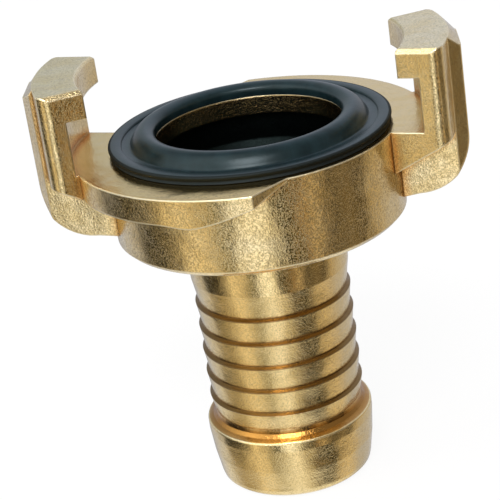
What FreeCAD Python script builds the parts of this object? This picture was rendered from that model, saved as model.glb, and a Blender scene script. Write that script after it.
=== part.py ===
import FreeCAD, Part
import math
import os

# Brass quick connector: one half of a two-claw hose coupling, 40 mm claw distance.
# All sizes in mm. The tail's end face is at z = 0, the axis is +Z, the claws lie on +X and -X.

# Levels, measured down or up from the top of the seal's outer lip
rim_z = 42.2
lip_thick = 0.95
boss_depth = 11.0
hook_gap = 5.1
claw_rise = 8.25
face_z = rim_z - lip_thick
boss_bottom_z = rim_z - boss_depth
hook_under_z = rim_z + hook_gap
claw_top_z = rim_z + claw_rise

# Boss
boss_r = 16.3
boss_edge = 0.5

# Claws
claw_distance = 40.0       # between the inner faces of the two claws
leg_thick = 2.6
hook_reach = 2.3
claw_half_angle = 21.1
hook_bevel_reach = 0.25
hook_bevel_drop = 0.25
claw_edge_round = 1.3
side_bevel = 0.45          # along both side edges of the hook's roof
leg_inner_r = claw_distance / 2
claw_outer_r = leg_inner_r + leg_thick
hook_inner_r = leg_inner_r - hook_reach

# Sloping underside of the claw's base, and the rib down its back that ends as a gusset
base_thick = 1.2
base_fall = 0.56           # slope of the underside towards the boss
spine_rise = 1.05
spine_root_recess = 3.4    # half widths of the rib at the boss, then at the leg
spine_root_flange = 4.7
spine_back_side = 4.3
spine_crest_recess = 3.2   # half widths of its crest towards the recess and the flange
spine_crest_flange = 2.5
spine_edge_round = 0.45
spine_top_fall = 1.2
spine_bend_share = 0.81    # of the rib's reach beyond the boss
spine_foot_depth = 9.05
spine_foot_slope = 0.16
spine_outer_r = claw_outer_r + spine_rise
spine_bend = spine_bend_share * (spine_outer_r - boss_r)
spine_foot_z = rim_z - spine_foot_depth

# Flange the other half's claws slide under, thick by its claw and thin at its free end
flange_clearance = 0.3
flange_thick = 2.85
flange_bump = 3.2
flange_thin = 0.35
flange_flat_end = 60.0     # angles from the claw's middle
flange_bump_at = 72.0
flange_cut_outer = 91.5
flange_cut_inner = 104.0
flange_r = leg_inner_r - flange_clearance

# Neck and hose tail
neck_top_r = 9.25
neck_low_r = 9.0
neck_step_z = 25.4
barb_crest_r = 8.92
barb_depth = 0.4
barb_count = 5
barb_first_z = 22.55
barb_pitch = 2.93
barb_ledge = 0.22
bead_rise = 0.7            # of the end bead over the barbs
bead_top_z = 7.5
bead_low_z = 6.3
bead_fillet = 1.15
bead_round = 0.25
tail_end_r = 8.9
tail_end_round = 0.8
tail_bulge = 0.1
barb_root_r = barb_crest_r - barb_depth
bead_r = barb_crest_r + bead_rise

# Seal, seated on the face and round the collar
seal_outer_r = 15.7
seal_width = 5.35          # from its rim to its hole
seal_overhang = 0.05       # of the seal's hole inside the collar
seal_root_width = 1.8
seal_root_depth = 0.8
seal_edge_round = 0.25
seal_step_in = 1.3         # lip's flat band, from its rim inwards
seal_step_drop = 0.18
seal_groove_in = 2.45
seal_groove_drop = 0.35
seal_crest_out = 1.35      # top of the bead, from the hole outwards
seal_crest_rise = 1.25
seal_hole_rise = 0.75
seal_hole_r = seal_outer_r - seal_width
seal_crest_r = seal_hole_r + seal_crest_out
seal_root_z = face_z - seal_root_depth
seal_step_r = seal_outer_r - seal_step_in
seal_groove_r = seal_outer_r - seal_groove_in

# Collar inside the seal, and the water way
collar_wall = 1.1
collar_drop = 0.15
collar_inner_r = seal_hole_r + seal_overhang
collar_outer_r = collar_inner_r + collar_wall
collar_top_z = rim_z - collar_drop
seal_root_outer_r = collar_outer_r + seal_root_width
bore_r = 6.5
bore_mouth = 0.5
chamber_undercut = 0.8
chamber_depth = 2.3
chamber_length = 3.3
cone_length = 6.9
chamber_r = collar_inner_r + chamber_undercut
chamber_top_z = rim_z - chamber_depth
chamber_low_z = chamber_top_z - chamber_length
cone_low_z = chamber_low_z - cone_length

# Extra length given to cutting shapes so that they pass right through
over = 2.0


def vec(x, y, z=0.0):
    return FreeCAD.Vector(x, y, z)


def polar(r, degrees, z=0.0):
    a = math.radians(degrees)
    return vec(r * math.cos(a), r * math.sin(a), z)


def revolve(edges):
    """Solid of revolution about Z from edges lying in the XZ plane."""
    face = Part.Face(Part.Wire(edges))
    return face.revolve(vec(0, 0, 0), vec(0, 0, 1), 360)


def section_edges(points):
    """Closed polygon of (radius, height) pairs in the XZ plane."""
    corners = [vec(r, 0, z) for r, z in points]
    corners.append(corners[0])
    return [Part.makeLine(a, b) for a, b in zip(corners, corners[1:])]


def arc_edge(start, middle, end):
    """Arc through three (radius, height) points."""
    return Part.Arc(vec(start[0], 0, start[1]), vec(middle[0], 0, middle[1]),
                    vec(end[0], 0, end[1])).toShape()


def curve_edges(start, middle, end, steps):
    """Short straight edges along an arc, so that the turned surface stays light."""
    points = arc_edge(start, middle, end).discretize(steps + 1)
    return [Part.makeLine(a, b) for a, b in zip(points, points[1:])]


def line_edge(start, end):
    return Part.makeLine(vec(start[0], 0, start[1]), vec(end[0], 0, end[1]))


def ring(inner, outer, low, high):
    tube = Part.makeCylinder(outer, high - low, vec(0, 0, low))
    if inner > 0:
        tube = tube.cut(Part.makeCylinder(inner, high - low + 2 * over, vec(0, 0, low - over)))
    return tube


def sector(inner, outer, low, high, start, end):
    """Part of a ring between two angles."""
    edges = [
        Part.makeLine(polar(inner, start, low), polar(outer, start, low)),
        Part.Arc(polar(outer, start, low), polar(outer, (start + end) / 2, low),
                 polar(outer, end, low)).toShape(),
        Part.makeLine(polar(outer, end, low), polar(inner, end, low)),
        Part.Arc(polar(inner, end, low), polar(inner, (start + end) / 2, low),
                 polar(inner, start, low)).toShape(),
    ]
    return Part.Face(Part.Wire(edges)).extrude(vec(0, 0, high - low))


def half_turn(shape):
    turned = shape.copy()
    turned.rotate(vec(0, 0, 0), vec(0, 0, 1), 180)
    return turned


def tail_outline():
    """Outer edges of the turned part, from the tail's end face up to the flat face."""
    start = (tail_end_r - tail_end_round, 0.0)
    side = (tail_end_r, tail_end_round)
    middle = (tail_end_r - 0.3 * tail_end_round, 0.3 * tail_end_round)
    edges = curve_edges(start, middle, side, 3)
    bead_low = (bead_r, bead_low_z)
    bulge = ((tail_end_r + bead_r) / 2 + tail_bulge, (tail_end_round + bead_low_z) / 2)
    edges += curve_edges(side, bulge, bead_low, 2)
    corner = (bead_r, bead_top_z - bead_round)
    edges.append(line_edge(bead_low, corner))
    crest = (bead_r - bead_round, bead_top_z)
    middle = (bead_r - 0.3 * bead_round, bead_top_z - 0.3 * bead_round)
    edges += curve_edges(corner, middle, crest, 2)
    root = (barb_root_r, bead_top_z + bead_fillet)
    hollow = 0.15 * bead_fillet
    middle = ((crest[0] + root[0]) / 2 - hollow, (crest[1] + root[1]) / 2 - hollow)
    edges += curve_edges(crest, middle, root, 3)
    return edges + barb_edges(root)


def barb_edges(start):
    """Saw-tooth barbs whose steep sides face the boss, then the neck and the boss."""
    edges = []
    here = start
    ledges = [barb_first_z - barb_pitch * k for k in range(barb_count)]
    for z in reversed(ledges):
        ledge_low = (barb_crest_r, z - barb_ledge)
        ledge_high = (barb_root_r, z)
        edges.append(line_edge(here, ledge_low))
        edges.append(line_edge(ledge_low, ledge_high))
        here = ledge_high
    points = [here, (neck_low_r, neck_step_z), (neck_top_r, boss_bottom_z),
              (boss_r - boss_edge, boss_bottom_z), (boss_r, boss_bottom_z + boss_edge),
              (boss_r, face_z)]
    edges += [line_edge(a, b) for a, b in zip(points, points[1:])]
    return edges


def turned_core():
    """Boss, neck, barbs and end bead as one solid of revolution."""
    edges = tail_outline()
    edges.append(line_edge((boss_r, face_z), (0.0, face_z)))
    edges.append(line_edge((0.0, face_z), (0.0, 0.0)))
    edges.append(line_edge((0.0, 0.0), (tail_end_r - tail_end_round, 0.0)))
    return revolve(edges)


def flange_depth(angle):
    """Thickness of the flange at an angle from the middle of its claw."""
    if angle <= flange_flat_end:
        return flange_thick
    if angle <= flange_bump_at:
        t = (angle - flange_flat_end) / (flange_bump_at - flange_flat_end)
        blend = 0.5 - 0.5 * math.cos(math.pi * t)
        return flange_thick + (flange_bump - flange_thick) * blend
    t = (angle - flange_bump_at) / (flange_cut_inner - flange_bump_at)
    blend = 0.5 - 0.5 * math.cos(math.pi * min(t, 1.0))
    mix = 0.65 * t + 0.35 * blend
    return flange_bump + (flange_thin - flange_bump) * mix


def flange():
    """Ramped flange: thick by its claw, a bump to hold the other half, then thin."""
    start = claw_half_angle - 6.0
    end = flange_cut_inner + 3.0
    steps = 20
    wires = []
    for i in range(steps + 1):
        angle = start + (end - start) * i / steps
        low = face_z - flange_depth(angle)
        corners = [polar(boss_r - over, angle, low), polar(flange_r + over, angle, low),
                   polar(flange_r + over, angle, face_z), polar(boss_r - over, angle, face_z)]
        corners.append(corners[0])
        wires.append(Part.makePolygon(corners))
    body = Part.makeLoft(wires, True, False)
    low = face_z - flange_bump - over
    body = body.common(ring(boss_r - 0.7 * over, flange_r, low, face_z + over))
    return body.cut(flange_end_cutter())


def flange_end_cutter():
    """Block beyond the slanting free end of the flange."""
    outer = polar(flange_r, flange_cut_outer)
    inner = polar(boss_r, flange_cut_inner)
    along = (outer - inner).normalize()
    away = vec(-along.y, along.x)
    a = inner - along * 2 * over
    b = outer + along * 3 * over
    base = Part.makePolygon([a, b, b + away * boss_r, a + away * boss_r, a])
    height = flange_bump + 2 * over
    return Part.Face(base).extrude(vec(0, 0, height)).translated(vec(0, 0, face_z + over - height))


def underside_z(r):
    """Height of the claw base's sloping underside at a radius."""
    return face_z - base_thick - base_fall * (claw_outer_r - r)


def is_upright(edge):
    ends = [v.Point for v in edge.Vertexes]
    return len(ends) == 2 and math.hypot(ends[0].x - ends[1].x, ends[0].y - ends[1].y) < 0.001


def claw_block():
    """Sector that becomes the leg and hook, with its outer corners rounded."""
    inner = boss_r - over
    block = sector(inner, claw_outer_r, underside_z(inner) - over, claw_top_z,
                   -claw_half_angle, claw_half_angle)
    corners = [edge for edge in block.Edges if is_upright(edge)
               and math.hypot(edge.Vertexes[0].X, edge.Vertexes[0].Y) > leg_inner_r]
    return block.makeFillet(claw_edge_round, corners)


def claw_underside():
    """Ring that trims the claw's base to its sloping underside."""
    inner = boss_r - 2 * over
    outer = claw_outer_r + over
    low = underside_z(inner) - 2 * over
    return revolve(section_edges([(inner, underside_z(inner)), (outer, underside_z(outer)),
                                  (outer, low), (inner, low)]))


def spine_plan():
    """Plan of the rib, narrower towards its crest."""
    inner = boss_r - over / 2
    back = math.sqrt(claw_outer_r ** 2 - spine_back_side ** 2)
    points = [vec(inner, spine_root_flange), vec(claw_outer_r, spine_back_side),
              vec(spine_outer_r, spine_crest_flange), vec(spine_outer_r, -spine_crest_recess),
              vec(back, -spine_back_side), vec(inner, -spine_root_recess)]
    points.append(points[0])
    low = spine_foot_z - 2 * over
    plan = Part.Face(Part.makePolygon(points)).extrude(vec(0, 0, claw_top_z + over - low))
    return plan.translated(vec(0, 0, low))


def spine_side():
    """Side view of the rib: straight down the claw's back, then in under the base."""
    inner = boss_r - over
    knee = (spine_outer_r, spine_foot_z + spine_bend)
    foot = (spine_outer_r - spine_bend, spine_foot_z)
    diagonal = spine_bend * math.sqrt(0.5)
    middle = (foot[0] + diagonal, knee[1] - diagonal)
    low = (inner, spine_foot_z - spine_foot_slope * (foot[0] - inner))
    edges = [line_edge((inner, claw_top_z), (spine_outer_r, claw_top_z)),
             line_edge((spine_outer_r, claw_top_z), knee), arc_edge(knee, middle, foot),
             line_edge(foot, low), line_edge(low, (inner, claw_top_z))]
    width = 2 * max(spine_root_flange, spine_back_side)
    return Part.Face(Part.Wire(edges)).extrude(vec(0, width, 0)).translated(vec(0, -width / 2, 0))


def spine():
    """Rib down the claw's back that bends in under the base as a gusset."""
    rib = spine_side().common(spine_plan())
    sides = [edge for edge in rib.Edges if is_upright(edge)
             and edge.Vertexes[0].X > spine_outer_r - spine_rise / 2]
    return rib.makeFillet(spine_edge_round, sides)


def claw_hollow():
    """Turned space under the hook, between the leg and the flat face."""
    bevel_r = hook_inner_r + hook_bevel_reach
    top = claw_top_z + over
    points = [(0.0, face_z), (leg_inner_r, face_z), (leg_inner_r, hook_under_z),
              (hook_inner_r, hook_under_z), (hook_inner_r, claw_top_z - hook_bevel_drop),
              (bevel_r, claw_top_z), (bevel_r, top), (0.0, top)]
    return revolve(section_edges(points))


def roof_trim():
    """Ring that slopes the top of the rib down from the edge of the claw's roof."""
    outer = spine_outer_r + over
    low = claw_top_z - spine_top_fall
    top = claw_top_z + over
    return revolve(section_edges([(claw_outer_r, top), (claw_outer_r, claw_top_z),
                                  (spine_outer_r, low), (outer, low), (outer, top)]))


def side_bevel_cutter():
    """Prism that bevels the roof's edge along the claw's recess side."""
    points = [vec(0, -over, claw_top_z - side_bevel - over), vec(0, side_bevel, claw_top_z),
              vec(0, side_bevel, claw_top_z + over), vec(0, -over, claw_top_z + over)]
    points.append(points[0])
    prism = Part.Face(Part.makePolygon(points)).extrude(vec(spine_outer_r + over, 0, 0))
    prism.rotate(vec(0, 0, 0), vec(0, 0, 1), -claw_half_angle)
    return prism


def claw():
    body = claw_block().cut(claw_underside())
    body = body.fuse(spine()).cut(roof_trim())
    bevel = side_bevel_cutter()
    other_bevel = bevel.mirror(vec(0, 0, 0), vec(0, 1, 0))
    return body.cut(claw_hollow()).cut(bevel).cut(other_bevel)


def water_way():
    """Everything cut out along the axis: tail bore, cone, chamber and collar bore."""
    mouth_r = bore_r + bore_mouth
    points = [(0.0, -over), (mouth_r, -over), (mouth_r, 0.0), (bore_r, bore_mouth),
              (bore_r, cone_low_z), (chamber_r, chamber_low_z), (chamber_r, chamber_top_z),
              (collar_inner_r, chamber_top_z), (collar_inner_r, rim_z + over),
              (0.0, rim_z + over)]
    return revolve(section_edges(points))


def seal_seat():
    return ring(collar_outer_r, seal_root_outer_r, seal_root_z, face_z + over)


def make_body():
    """One forged and turned piece: hose tail, boss, ramped flange and two claws."""
    collar = ring(0, collar_outer_r, seal_root_z - over, collar_top_z)
    body = turned_core().fuse(collar)
    one_claw = claw()
    one_flange = flange()
    body = body.fuse([one_claw, half_turn(one_claw), one_flange, half_turn(one_flange)])
    body = body.cut(seal_seat()).cut(water_way())
    return body.removeSplitter()


def make_seal():
    """Moulded ring: thin lip on the face, root in the seat, rounded bead round the hole."""
    rim = [(collar_outer_r, seal_root_z), (seal_root_outer_r, seal_root_z),
           (seal_root_outer_r, face_z), (seal_outer_r, face_z),
           (seal_outer_r, rim_z - seal_edge_round), (seal_outer_r - seal_edge_round, rim_z),
           (seal_step_r, rim_z), (seal_step_r - seal_step_drop, rim_z - seal_step_drop),
           (seal_groove_r, rim_z - seal_groove_drop)]
    edges = [line_edge(a, b) for a, b in zip(rim, rim[1:])]
    crest = (seal_crest_r, rim_z + seal_crest_rise)
    hole_top = (seal_hole_r, rim_z + seal_hole_rise)
    mid_out = (0.6 * seal_groove_r + 0.4 * seal_crest_r, rim_z + 0.66 * seal_crest_rise)
    mid_in = (0.7 * seal_hole_r + 0.3 * seal_crest_r, rim_z + 0.92 * seal_crest_rise)
    edges += curve_edges(rim[-1], mid_out, crest, 3)
    edges += curve_edges(crest, mid_in, hole_top, 2)
    inner = [hole_top, (seal_hole_r, collar_top_z), (collar_outer_r, collar_top_z), rim[0]]
    edges += [line_edge(a, b) for a, b in zip(inner, inner[1:])]
    return revolve(edges)


def export(shape, name):
    shape.exportStep("parts/" + name + ".step")
    print(name, "solids", len(shape.Solids), "valid", shape.isValid(), "volume", shape.Volume)


os.makedirs("parts", exist_ok=True)
export(make_body(), "body")
export(make_seal(), "seal")
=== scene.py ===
import bpy
import bmesh
import math
from mathutils import Matrix, Vector


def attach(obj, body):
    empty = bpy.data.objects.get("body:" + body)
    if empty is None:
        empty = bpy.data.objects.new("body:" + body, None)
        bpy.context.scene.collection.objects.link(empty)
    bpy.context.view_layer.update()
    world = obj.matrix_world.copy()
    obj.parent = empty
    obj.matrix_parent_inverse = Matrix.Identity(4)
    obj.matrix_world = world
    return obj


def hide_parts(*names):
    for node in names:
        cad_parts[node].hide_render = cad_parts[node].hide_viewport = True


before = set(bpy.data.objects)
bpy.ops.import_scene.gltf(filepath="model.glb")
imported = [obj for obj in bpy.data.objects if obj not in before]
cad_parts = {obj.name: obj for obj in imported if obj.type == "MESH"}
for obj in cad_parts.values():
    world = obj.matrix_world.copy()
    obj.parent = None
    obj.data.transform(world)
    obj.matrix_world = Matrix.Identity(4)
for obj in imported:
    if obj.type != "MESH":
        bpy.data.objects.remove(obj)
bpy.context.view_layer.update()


# Brass body: one hot forging with hose tail, boss, ramped flange and two hooked claws. It is
# blasted, which leaves a fine bright grain, and turned on the tail, the neck and the flat face.
# Lengths are in millimetres, here and in the sections below.
MM = 0.001


class Sock:
    """A shader socket whose Python operators add Math nodes."""

    def __init__(self, nodes, socket):
        self.nodes = nodes
        self.socket = socket

    def math(self, operation, *others):
        inputs = dict(enumerate((self, *others)))
        return self.nodes.add("ShaderNodeMath", {"operation": operation}, inputs)[0]

    def __add__(self, other):
        return self.math("ADD", other)

    def __radd__(self, other):
        return self.math("ADD", other)

    def __sub__(self, other):
        return self.math("SUBTRACT", other)

    def __rsub__(self, other):
        inputs = {0: other, 1: self}
        return self.nodes.add("ShaderNodeMath", {"operation": "SUBTRACT"}, inputs)[0]

    def __mul__(self, other):
        return self.math("MULTIPLY", other)

    def __rmul__(self, other):
        return self.math("MULTIPLY", other)

    def __truediv__(self, other):
        return self.math("DIVIDE", other)

    def __pow__(self, other):
        return self.math("POWER", other)

    def above(self, edge, soft=0.1):
        """0 below the edge and 1 above it, changing over the width soft."""
        inputs = {0: self, 1: edge - soft / 2, 2: edge + soft / 2}
        settings = {"interpolation_type": "SMOOTHSTEP"}
        return self.nodes.add("ShaderNodeMapRange", settings, inputs)[0]

    def near(self, middle, half, soft):
        """1 closer to the middle than half, and 0 further off, changing over soft."""
        return 1 - (self - middle).math("ABSOLUTE").above(half, soft)


class Nodes:
    """The node tree of a material or world, filled by one call for each node."""

    def __init__(self, owner):
        owner.use_nodes = True
        self.tree = owner.node_tree
        self.tree.nodes.clear()

    def add(self, kind, settings=None, inputs=None):
        """One node of a type: its settings come first, then its sockets' values or links."""
        node = self.tree.nodes.new(kind)
        for name, value in (settings or {}).items():
            if name == "stops":
                self.set_stops(node.color_ramp, value)
            else:
                setattr(node, name, value)
        for key, value in (inputs or {}).items():
            if isinstance(value, Sock):
                self.tree.links.new(value.socket, node.inputs[key])
            else:
                node.inputs[key].default_value = value
        return [Sock(self, socket) for socket in node.outputs]

    def set_stops(self, ramp, stops):
        ramp.interpolation = "EASE"
        while len(ramp.elements) < len(stops):
            ramp.elements.new(1.0)
        for element, (place, colour) in zip(ramp.elements, stops):
            element.position = place
            element.color = (*colour, 1.0)

    def blend(self, share, first, second):
        """One colour over another by a share from 0 to 1."""
        inputs = {0: share, 6: first, 7: second}
        return self.add("ShaderNodeMix", {"data_type": "RGBA"}, inputs)[2]

    def noise(self, place, scale, detail=2.0, rough=0.5):
        inputs = {"Vector": place, "Scale": scale, "Detail": detail, "Roughness": rough}
        return self.add("ShaderNodeTexNoise", None, inputs)[0]

    def split(self, vector):
        return self.add("ShaderNodeSeparateXYZ", None, {0: vector})

    def dot(self, first, second):
        """1 where two directions agree, down to -1 where they are opposite."""
        inputs = {0: first, 1: second}
        return self.add("ShaderNodeVectorMath", {"operation": "DOT_PRODUCT"}, inputs)[1]

    def place_mm(self):
        """Where a point lies in the object's own frame, in millimetres."""
        place = self.add("ShaderNodeTexCoord")[3]
        inputs = {0: place, 3: 1 / MM}
        return self.add("ShaderNodeVectorMath", {"operation": "SCALE"}, inputs)[0]


brass_pale = (0.84, 0.69, 0.42, 1.0)
brass_gold = (0.80, 0.62, 0.32, 1.0)
brass_turned = (0.71, 0.49, 0.19, 1.0)
# Partly a painted edge highlight, partly brass rubbed bright.
brass_worn_highlight = (0.93, 0.82, 0.58, 1.0)
brass_brown = (0.34, 0.27, 0.13, 1.0)
# Painted shade: a warm orange for corners and the recess above the end bead.
brass_painted_orange_shade = (0.64, 0.27, 0.035, 1.0)
# Partly oxide, partly painted shade: a near black brown for corners, grooves, the recess and
# the water way.
brass_oxide_and_shade = (0.15, 0.08, 0.02, 1.0)
# Painted shade: near black for the chamber behind the seal.
chamber_shade_black = (0.006, 0.009, 0.009, 1.0)

tail_end, neck_top, boss_under = 0.6, 31.1, 31.35
chamber_top, face_low, face_high, collar_top = 39.85, 41.0, 41.5, 42.0
bore_wall, tail_skin, recess_wall, collar_wall = 7.6, 7.9, 9.42, 11.45
ledge_low, ledge_top, ledge_pitch = 10.6, 22.62, 2.93
recess_middle, recess_half, recess_fade = 7.95, 0.6, 0.8

brass = bpy.data.materials.new("blasted_brass")
n = Nodes(brass)
here = n.place_mm()
x, y, z = n.split(here)
radius = (x * x + y * y) ** 0.5
normal = n.add("ShaderNodeNewGeometry")[1]
facing_up = n.split(normal)[2].above(0.9)

# The turned places, which have lost part of the blasted grain.
tail_loss, face_loss = 0.4, 0.6
on_tail = 1 - z.above(neck_top)
on_face = facing_up * z.above(face_low) * (1 - z.above(face_high))
turned = on_tail.math("MAXIMUM", on_face)
forged = 1 - on_tail * tail_loss - on_face * face_loss

# The surface in relief: the shot's dimples, the forging's slow waves and the tool's marks.
dimple_depth, fine_depth, pit_depth, chip_depth = 0.009, 0.005, 0.008, 0.008
dent_depth, wave_depth, mark_depth = 0.020, 0.14, 0.012
fine = n.noise(here, scale=7.0)
shot = {"Vector": here, "Scale": 4.6, "Smoothness": 0.35}
dimples = n.add("ShaderNodeTexVoronoi", {"feature": "SMOOTH_F1"}, shot)[0]
pits = 1 - n.noise(here, scale=5.0, rough=0.7).above(0.45, soft=0.12)
chips = 1 - n.noise(here, scale=3.0, rough=0.7).above(0.40)
dents = n.noise(here, scale=0.9, detail=1.0)
waves = n.noise(here, scale=0.28, detail=1.0)
round_scale, feed_scale = 0.08, 3.2
feed = z * feed_scale + radius * feed_scale
tool_place = {0: x * round_scale, 1: y * round_scale, 2: feed}
tool_path = n.add("ShaderNodeCombineXYZ", None, tool_place)[0]
tool_marks = n.noise(tool_path, scale=1.0, detail=3.0, rough=0.65)
grain = dimples * dimple_depth + fine * fine_depth - pits * pit_depth - chips * chip_depth
height = grain * forged + dents * dent_depth + waves * wave_depth
height = height + tool_marks * turned * mark_depth

# Edges are rounder where the brass is as forged than where it is turned.
forged_round, turned_round = 0.32, 0.10
soft_edge = n.add("ShaderNodeBevel", {"samples": 6}, {"Radius": forged_round * MM})[0]
crisp_edge = n.add("ShaderNodeBevel", {"samples": 4}, {"Radius": turned_round * MM})[0]
edges = {0: on_tail, 4: soft_edge, 5: crisp_edge}
edge = n.add("ShaderNodeMix", {"data_type": "VECTOR"}, edges)[1]
relief = {"Strength": 1.0, "Distance": MM, "Height": height, "Normal": edge}
bump = n.add("ShaderNodeBump", None, relief)[0]

# Painted shade: an occlusion mask for the corners, and masks for the grooves under the barbs'
# ledges and the recess above the end bead, all darkened in the colours below.
corner_reach = 1.9
looking = {"samples": 8, "only_local": True}
cove = 1 - n.add("ShaderNodeAmbientOcclusion", looking, {"Distance": corner_reach * MM})[1]
skin = radius.above(bore_wall, soft=0.5)
groove_share = 0.13
tooth = ((ledge_top - z) / ledge_pitch).math("FRACT")
barbs = z.above(ledge_low) * (1 - z.above(ledge_top, soft=0.02))
groove = (1 - tooth.above(groove_share, soft=0.05)) * barbs * skin
bead_side = 1 - radius.above(recess_wall, soft=0.12)
recess = z.near(recess_middle, recess_half, recess_fade) * bead_side * skin

# The water way and the chamber behind the seal, where the brass is dull and painted dark as
# shade, since little light gets in.
outside = radius.above(tail_skin, soft=0.2) * (1 - z.above(boss_under))
way_ends = (1 - z.above(collar_top, soft=0.05)) * z.above(tail_end, soft=0.2)
inside = (1 - radius.above(collar_wall)) * (1 - outside) * way_ends
chamber = inside * (1 - z.above(chamber_top, soft=0.2))

# The outer edges get a painted highlight where the rounded edge leans away from the face,
# partly also brass rubbed bright by handling.
rounding = 1 - n.dot(edge, normal)
open_place = (1 - cove.above(0.2, soft=0.2)) * (1 - inside)
edge_highlight_and_wear = rounding.above(0.045, soft=0.07) * open_place

# The colours are laid over each other in this order, each by its share.
tone = n.noise(here, scale=0.3, detail=3.0, rough=0.6).above(0.5, soft=0.35)
colour = n.blend(tone, brass_pale, brass_gold)
for share, tint in (
    (on_tail * 0.6, brass_gold),
    (on_face * 0.85, brass_turned),
    ((pits * 0.30 + chips * 0.22) * forged, brass_brown),
    # Painted reflected light: corners tinted warm orange, as if lit by the brass around them.
    (cove.above(0.25, soft=0.30) * 0.7, brass_painted_orange_shade),
    # Painted shade: a dark line right in the corners.
    (cove.above(0.48, soft=0.16) * 0.8, brass_oxide_and_shade),
    # Painted highlight on the outer edges, partly also rubbed brass.
    (edge_highlight_and_wear * 0.8, brass_worn_highlight),
    # Painted shade in the recess above the end bead.
    (recess * 0.85, brass_painted_orange_shade),
    (recess * 0.5, brass_oxide_and_shade),
    # Partly dirt, partly painted shade under the barbs' ledges.
    (groove * 0.9, brass_oxide_and_shade),
    # Partly oxide, partly painted shade inside the water way.
    (inside * 0.45, brass_oxide_and_shade),
    # Painted shade: the chamber behind the seal is painted near black.
    (chamber, chamber_shade_black),
):
    colour = n.blend(share, colour, tint)
bright_rough = 0.11
rough = bright_rough + fine * 0.08 + edge_highlight_and_wear * 0.25 + chamber * 0.3
finish = {"Base Color": colour, "Metallic": 1.0, "Roughness": rough, "Normal": bump}
shader = n.add("ShaderNodeBsdfPrincipled", None, finish)[0]
n.add("ShaderNodeOutputMaterial", None, {"Surface": shader})
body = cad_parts["body"]
body.data.materials.clear()
body.data.materials.append(brass)


# Sealing ring: one moulding of black rubber, with a thin lip on the face, a raised bead round
# the hole and a root that is pressed into the seat. The profile is (radius, height) from the
# root's foot, out along the lip and in over the bead. The ring stands for the CAD seal.
seal_profile = [
    (11.50, 40.47), (13.28, 40.47), (13.28, 41.25), (15.50, 41.26), (15.57, 41.32),
    (15.50, 41.44), (15.42, 41.54), (15.44, 41.66), (15.58, 41.80), (15.68, 41.94),
    (15.67, 42.08), (15.56, 42.18), (15.30, 42.20), (14.36, 42.20), (14.26, 42.16),
    (14.21, 42.06), (14.17, 41.96), (14.05, 41.93), (13.45, 41.90), (13.28, 41.92),
    (13.16, 42.02), (13.04, 42.25), (12.86, 42.56), (12.62, 42.89), (12.34, 43.15),
    (12.04, 43.34), (11.72, 43.43), (11.40, 43.44), (11.08, 43.38), (10.78, 43.27),
    (10.55, 43.12), (10.41, 42.93), (10.36, 42.70), (10.35, 42.40), (10.36, 42.07),
    (11.50, 42.07),
]
ring_steps = 192
crease_angle = math.radians(50)


def lathe(name, profile, steps):
    """A closed turned shape from (radius, height) pairs in mm."""
    bm = bmesh.new()
    rows = []
    for k in range(steps):
        angle = 2 * math.pi * k / steps
        c, s = math.cos(angle) * MM, math.sin(angle) * MM
        rows.append([bm.verts.new((r * c, r * s, h * MM)) for r, h in profile])
    for k, row in enumerate(rows):
        after = rows[(k + 1) % steps]
        for i in range(len(profile)):
            j = (i + 1) % len(profile)
            bm.faces.new((row[i], after[i], after[j], row[j]))
    bmesh.ops.recalc_face_normals(bm, faces=bm.faces)
    mesh = bpy.data.meshes.new(name)
    bm.to_mesh(mesh)
    bm.free()
    mesh.shade_smooth()
    piece = bpy.data.objects.new(name, mesh)
    bpy.context.scene.collection.objects.link(piece)
    return piece


ring = lathe("seal_ring", seal_profile, ring_steps)
ring.data.set_sharp_from_angle(angle=crease_angle)

rubber_black = (0.003, 0.009, 0.011, 1.0)
rubber_dusty = (0.007, 0.018, 0.022, 1.0)
# Painted shade: the lip's outer side, undercut over the brass face.
rubber_side_shade = (0.003, 0.004, 0.003, 1.0)
rubber_sheen = (0.78, 0.95, 1.0, 1.0)
skin_depth, dust_depth = 0.006, 0.02
lip_wall = 15.38
satin_rough = 0.24

rubber = bpy.data.materials.new("black_rubber")
n = Nodes(rubber)
here = n.place_mm()
x, y, z = n.split(here)
lip_side = ((x * x + y * y) ** 0.5).above(lip_wall, soft=0.08)
dust = n.noise(here, scale=0.5, detail=4.0, rough=0.65)
skin = n.noise(here, scale=5.0)
relief = {"Strength": 1.0, "Distance": MM, "Height": skin * skin_depth + dust * dust_depth}
bump = n.add("ShaderNodeBump", None, relief)[0]
colour = n.blend(dust.above(0.5, soft=0.4), rubber_black, rubber_dusty)
# The lip's outer side is painted near black as shade.
colour = n.blend(lip_side, colour, rubber_side_shade)
rough = satin_rough + dust * 0.12 + lip_side * 0.3
finish = {"Base Color": colour, "Roughness": rough, "Normal": bump, "IOR": 1.40,
          "Specular IOR Level": 0.42, "Specular Tint": rubber_sheen}
shader = n.add("ShaderNodeBsdfPrincipled", None, finish)[0]
n.add("ShaderNodeOutputMaterial", None, {"Surface": shader})
ring.data.materials.append(rubber)
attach(ring, "root")
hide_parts("seal")


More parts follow.
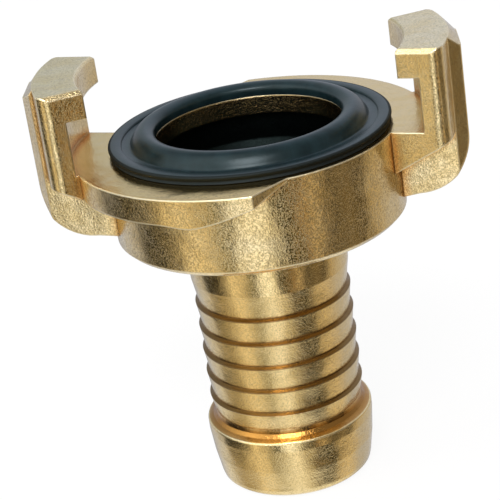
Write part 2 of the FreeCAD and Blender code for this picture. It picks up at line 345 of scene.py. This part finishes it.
# Floor: a sheet of white paper just under the tail, which takes the object's soft shadow. A
# small dark disc on it is a painted shadow under the open tail, so that the white doesn't shine
# up the bore.
floor_half = 3000 * MM
floor_drop = 0.05 * MM
floor_colour = (0.9, 0.9, 0.9, 1.0)
floor_glow = 0.9
plain_white = (1.0, 1.0, 1.0, 1.0)
corners = [(-floor_half, -floor_half, 0), (floor_half, -floor_half, 0),
           (floor_half, floor_half, 0), (-floor_half, floor_half, 0)]
floor_mesh = bpy.data.meshes.new("floor")
floor_mesh.from_pydata(corners, [], [(0, 1, 2, 3)])
floor = bpy.data.objects.new("floor", floor_mesh)
floor.location.z = -floor_drop
floor.visible_glossy = False
bpy.context.scene.collection.objects.link(floor)
paper = bpy.data.materials.new("white_paper")
n = Nodes(paper)
diffuse = n.add("ShaderNodeBsdfDiffuse", None, {"Color": floor_colour})[0]
glow = n.add("ShaderNodeEmission", None, {"Color": plain_white, "Strength": 1.0})[0]
path = n.add("ShaderNodeLightPath")
camera_ray, glossy_ray, glass_ray = path[0], path[3], path[6]
seen = camera_ray + glossy_ray + glass_ray
shader = n.add("ShaderNodeMixShader", None, {0: seen * floor_glow, 1: diffuse, 2: glow})[0]
n.add("ShaderNodeOutputMaterial", None, {"Surface": shader})
floor.data.materials.append(paper)

foot_radius, foot_low, foot_high = 7.2, -0.04, -0.02
foot_steps = 64
# Painted shadow: the disc under the tail is near black.
foot_shadow_colour = (0.02, 0.02, 0.02, 1.0)
foot_profile = [(0.0, foot_low), (foot_radius, foot_low), (foot_radius, foot_high),
                (0.0, foot_high)]
foot = lathe("shaded_foot", foot_profile, foot_steps)
shade = bpy.data.materials.new("foot_shade")
n = Nodes(shade)
diffuse = n.add("ShaderNodeBsdfDiffuse", None, {"Color": foot_shadow_colour})[0]
n.add("ShaderNodeOutputMaterial", None, {"Surface": diffuse})
foot.data.materials.append(shade)


# Studio: a round room of pale sheets and dark gaps, in three rows one above the other, with a
# soft lamp high in front. The brass mirrors them as its bright and dark bands, and the camera
# sees plain white.
world = bpy.data.worlds.new("studio")
bpy.context.scene.world = world
n = Nodes(world)
way = n.add("ShaderNodeTexCoord")[0]
east, north, up = n.split(way)
turn = east.math("ARCTAN2", north * -1.0) / (2 * math.pi) + 0.5


def around(*stops):
    """Colours round the studio, at degrees from the front towards the right."""
    places = [(degrees / 360 + 0.5, colour) for degrees, colour in stops]
    return n.add("ShaderNodeValToRGB", {"stops": places}, {0: turn})[0]


sheets_high = around(
    (-180, (0.75, 0.82, 0.95)), (-168, (0.57, 0.64, 0.68)), (-140, (0.52, 0.55, 0.58)),
    (-95, (1.20, 1.25, 1.25)), (-68, (2.40, 2.40, 2.30)), (-20, (1.20, 1.20, 1.10)),
    (5, (0.90, 0.90, 0.85)), (45, (0.40, 0.38, 0.34)), (100, (0.40, 0.38, 0.36)),
    (150, (0.76, 0.80, 0.90)), (180, (0.75, 0.82, 0.95)),
)
sheets_low = around(
    (-180, (0.60, 0.62, 0.70)), (-160, (0.48, 0.50, 0.56)), (-138, (0.64, 0.66, 0.74)),
    (-118, (0.62, 0.60, 0.58)), (-104, (0.02, 0.02, 0.015)), (-82, (0.04, 0.035, 0.025)),
    (-70, (0.17, 0.15, 0.11)), (-52, (1.05, 0.90, 0.60)), (-38, (0.72, 0.60, 0.38)),
    (-28, (0.20, 0.19, 0.12)), (-20, (0.04, 0.04, 0.03)), (-12, (1.45, 1.45, 1.38)),
    (-2, (1.85, 1.90, 1.85)), (8, (0.90, 0.84, 0.66)), (15, (0.03, 0.03, 0.02)),
    (27, (0.03, 0.03, 0.02)), (34, (0.34, 0.21, 0.09)), (44, (0.66, 0.52, 0.30)),
    (58, (0.05, 0.045, 0.04)), (74, (0.20, 0.15, 0.08)), (88, (0.03, 0.025, 0.02)),
    (103, (0.58, 0.46, 0.27)), (120, (0.60, 0.56, 0.50)), (180, (0.60, 0.62, 0.70)),
)
sheets_deep = around(
    (-180, (0.60, 0.62, 0.70)), (-128, (0.88, 0.88, 0.86)), (-104, (0.50, 0.42, 0.28)),
    (-84, (0.44, 0.36, 0.21)), (-52, (1.00, 0.85, 0.56)), (-27, (0.36, 0.33, 0.22)),
    (-12, (0.85, 0.80, 0.64)), (2, (1.20, 1.16, 1.05)), (22, (0.60, 0.52, 0.34)),
    (38, (0.05, 0.04, 0.03)), (52, (0.02, 0.02, 0.01)), (64, (0.06, 0.05, 0.03)),
    (76, (0.62, 0.50, 0.30)), (92, (0.80, 0.66, 0.42)), (126, (0.54, 0.56, 0.64)),
    (180, (0.60, 0.62, 0.70)),
)
low_edge, high_edge, bottom_edge = -0.56, 0.12, -0.78
lamp_way = Vector((-0.05, -0.67, 0.74)).normalized()
lamp_edge = 0.975
lamp_light = (13.0, 12.6, 12.6, 1.0)
bottom_light = (1.1, 1.1, 1.05, 1.0)
studio = n.blend(up.above(low_edge, soft=0.12), sheets_deep, sheets_low)
studio = n.blend(up.above(high_edge, soft=0.3), studio, sheets_high)
studio = n.blend(n.dot(way, lamp_way).above(lamp_edge, soft=0.03), studio, lamp_light)
studio = n.blend(1 - up.above(bottom_edge, soft=0.2), studio, bottom_light)

# A narrow white sheet in front, below the lens, that only glossy surfaces see.
sweep_middle, sweep_half, sweep_fade = 0.49, 0.022, 0.012
sweep_low, sweep_high, sweep_share = -0.5, 0.0, 0.5
sweep_rise = (1 - up.above(sweep_high, soft=0.2)) * up.above(sweep_low)
sweep = turn.near(sweep_middle, sweep_half, sweep_fade) * sweep_rise
path = n.add("ShaderNodeLightPath")
camera_ray, glossy_ray, glass_ray = path[0], path[3], path[6]
seen = camera_ray + glass_ray + glossy_ray * sweep * sweep_share
colour = n.blend(seen, studio, plain_white)
shader = n.add("ShaderNodeBackground", None, {"Color": colour, "Strength": 1.0})[0]
n.add("ShaderNodeOutputWorld", None, {"Surface": shader})


# Camera: on the photograph's side of the object, looking a little down on it, and leaning so
# that the object tilts in the picture. Lens and distance give the photograph's perspective.
camera_lens, camera_sensor = 126.45, 36
camera_turn, camera_drop, camera_lean = 4.19, 22.5, -8.504
camera_distance = 192.72
camera_aim = (-1.52, -5.345, 29.6)
camera_data = bpy.data.cameras.new("camera")
camera_data.sensor_width = camera_sensor
camera_data.lens = camera_lens
camera_data.clip_start = 1.0 * MM
camera = bpy.data.objects.new("camera", camera_data)
bpy.context.scene.collection.objects.link(camera)
look = (Matrix.Rotation(math.radians(camera_turn), 4, "Z")
        @ Matrix.Rotation(math.radians(90 - camera_drop), 4, "X")
        @ Matrix.Rotation(math.radians(camera_lean), 4, "Z"))
aim = Matrix.Translation(Vector(camera_aim) * MM)
camera.matrix_world = aim @ look @ Matrix.Translation((0, 0, camera_distance * MM))
bpy.context.scene.camera = camera
bpy.context.scene.view_settings.view_transform = "Standard"
